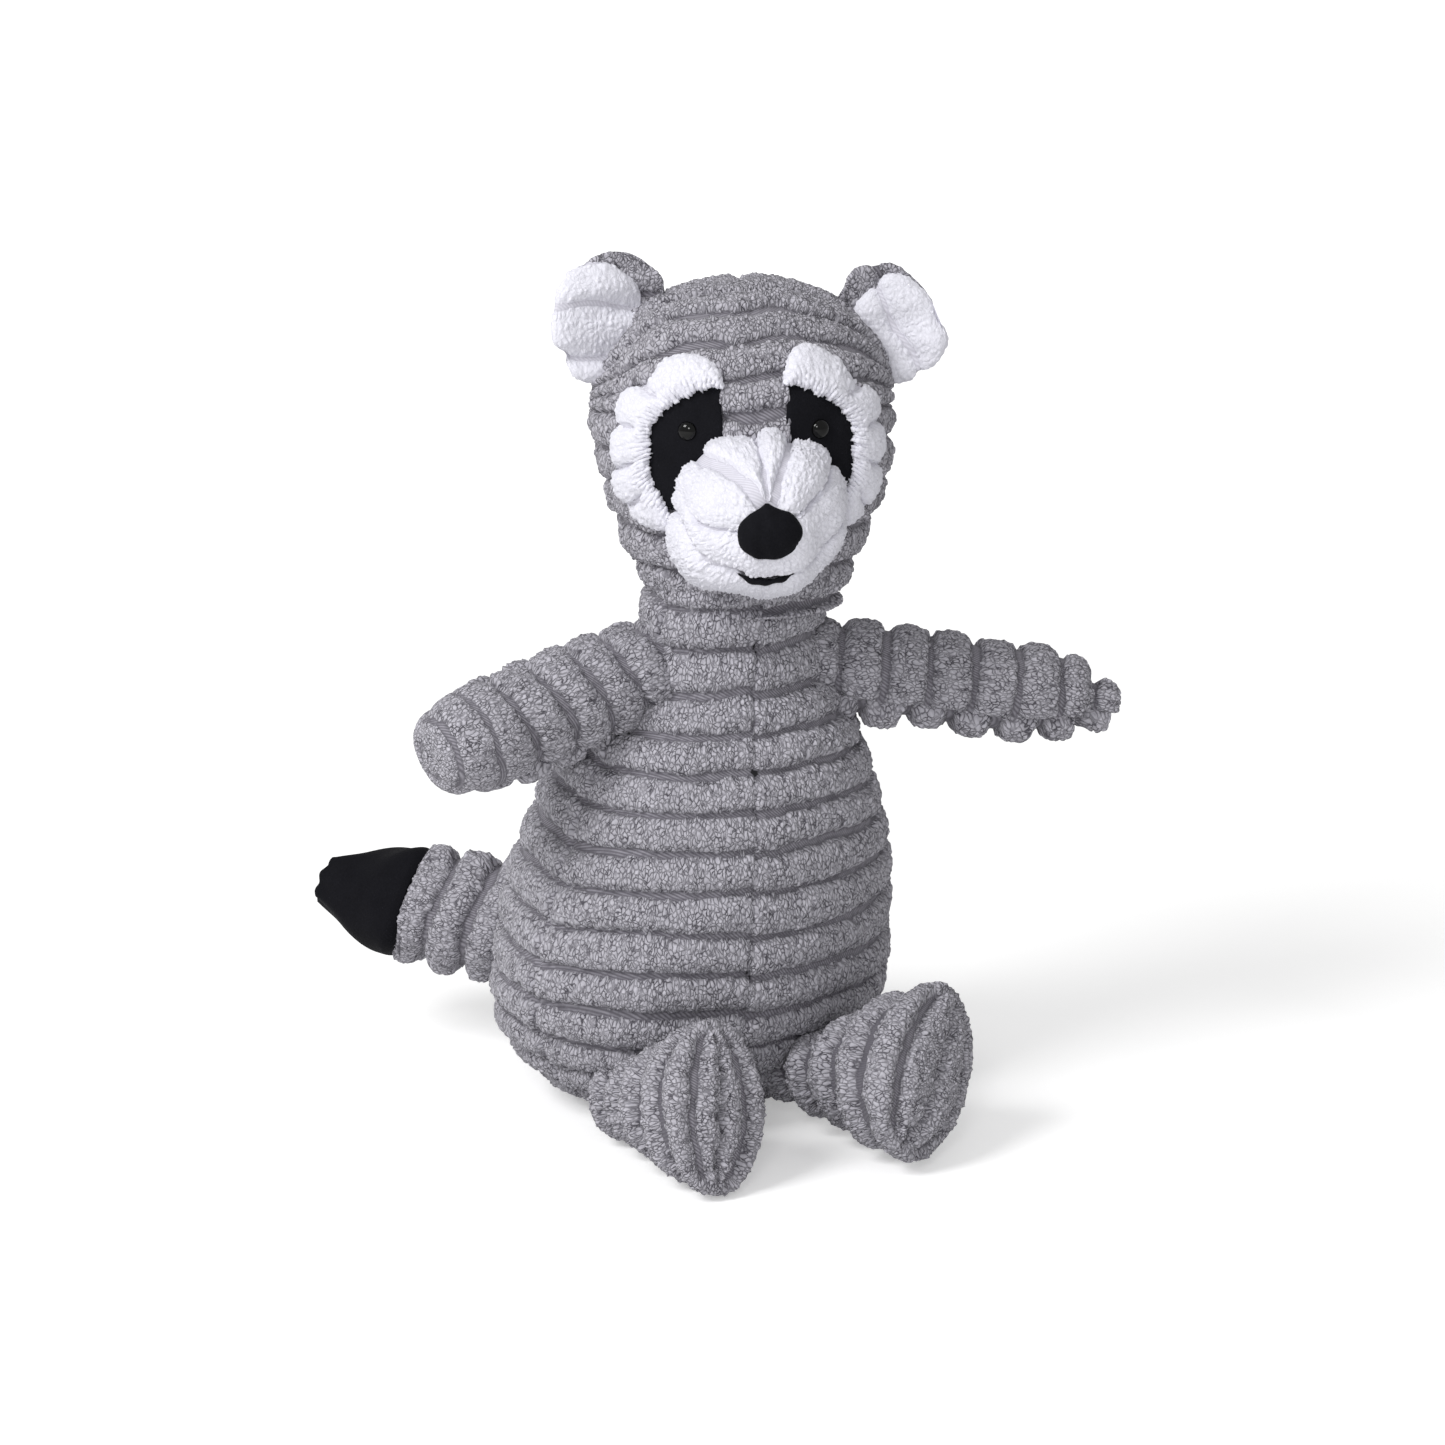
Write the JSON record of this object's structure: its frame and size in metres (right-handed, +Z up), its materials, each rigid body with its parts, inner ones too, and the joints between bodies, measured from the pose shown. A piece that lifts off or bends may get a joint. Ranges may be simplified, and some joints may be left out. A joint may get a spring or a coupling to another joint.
{
  "type": "plush raccoon dog toy",
  "caption": "Seated plush raccoon dog toy in wide-wale ribbed plush, with a white muzzle, black eye patches, stuffed limbs, a black-tipped tail and a squeaker inside.",
  "frame": {"origin": "on the floor, at the middle of the flat seat under the torso", "axes": "+Z up, the toy's face and belly look along -Y, its own left arm points to +X"},
  "size_m": [0.2136, 0.1819, 0.2551],
  "materials": {
    "grey_plush": "wide-wale ribbed plush, looped pile ribs on a woven ground, lavender grey",
    "white_plush": "wide-wale ribbed plush, soft white pile",
    "black_plush": "short smooth black plush",
    "fibre_fill": "loose polyester fibre fill",
    "eye_plastic": "glossy black bead",
    "squeaker_plastic": "soft translucent-white plastic"
  },
  "bodies": {
    "root": {"torso_front_left": "grey_plush", "torso_front_right": "grey_plush", "torso_back_left": "grey_plush", "torso_back_right": "grey_plush", "torso_base": "grey_plush", "head_left": "grey_plush", "head_right": "grey_plush", "ear_left_back": "grey_plush", "ear_right_back": "grey_plush", "arm_left": "grey_plush", "arm_right": "grey_plush", "leg_left": "grey_plush", "leg_right": "grey_plush", "sole_left": "grey_plush", "sole_right": "grey_plush", "tail": "grey_plush", "eye_surround_left": "white_plush", "eye_surround_right": "white_plush", "muzzle_left": "white_plush", "muzzle_right": "white_plush", "chin": "white_plush", "ear_left_front": "white_plush", "ear_right_front": "white_plush", "eye_patch_left": "black_plush", "eye_patch_right": "black_plush", "nose": "black_plush", "mouth": "black_plush", "tail_tip": "black_plush", "torso_stuffing": "fibre_fill", "head_stuffing": "fibre_fill", "eye_left": "eye_plastic", "eye_right": "eye_plastic", "squeaker_body": "squeaker_plastic", "squeaker_reed": "squeaker_plastic"}
  },
  "joints": []
}
